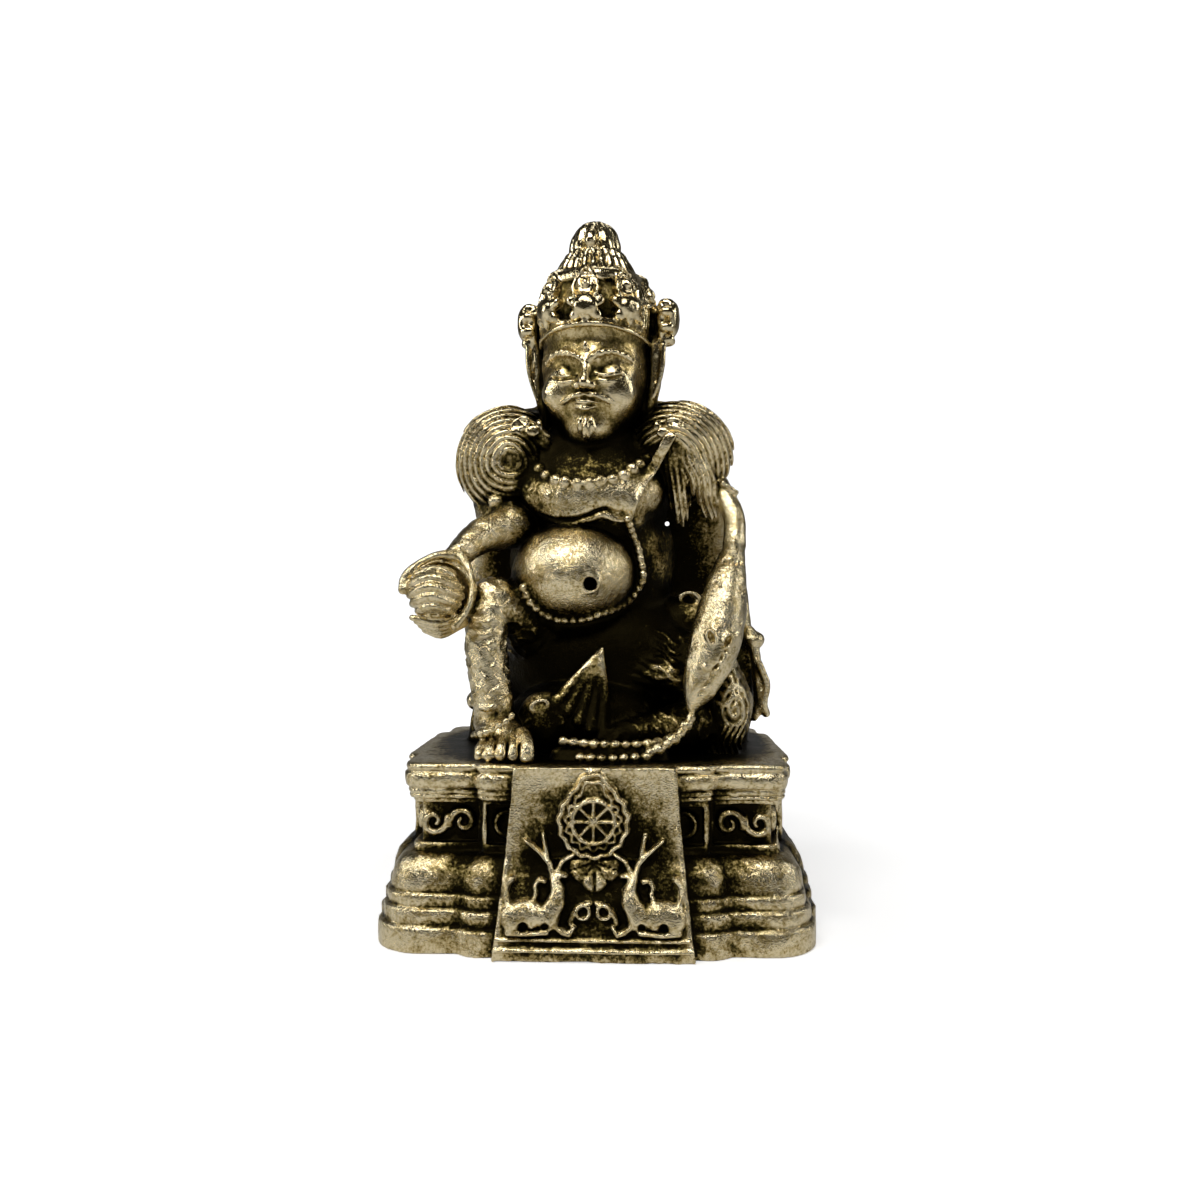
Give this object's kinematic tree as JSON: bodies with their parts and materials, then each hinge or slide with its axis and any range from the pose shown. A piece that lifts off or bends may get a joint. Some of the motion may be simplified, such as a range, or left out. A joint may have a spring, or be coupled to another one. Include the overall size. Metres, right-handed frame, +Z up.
{
  "type": "jambhala figure",
  "caption": "Small cast brass figure of a pot-bellied Jambhala seated at ease with citron and mongoose, in one piece with its stepped throne.",
  "frame": {"origin": "middle of the throne's underside, on the surface the figure stands on", "axes": "+Z up; the figure faces -Y; +X towards its left hand, the one with the mongoose"},
  "size_m": [0.03, 0.0249, 0.0497],
  "materials": {
    "antique_brass": "cast brass with a blackened olive patina in the hollows, rubbed pale and bright on the high places"
  },
  "bodies": {
    "root": {"jambhala_figure": "antique_brass"}
  },
  "joints": []
}
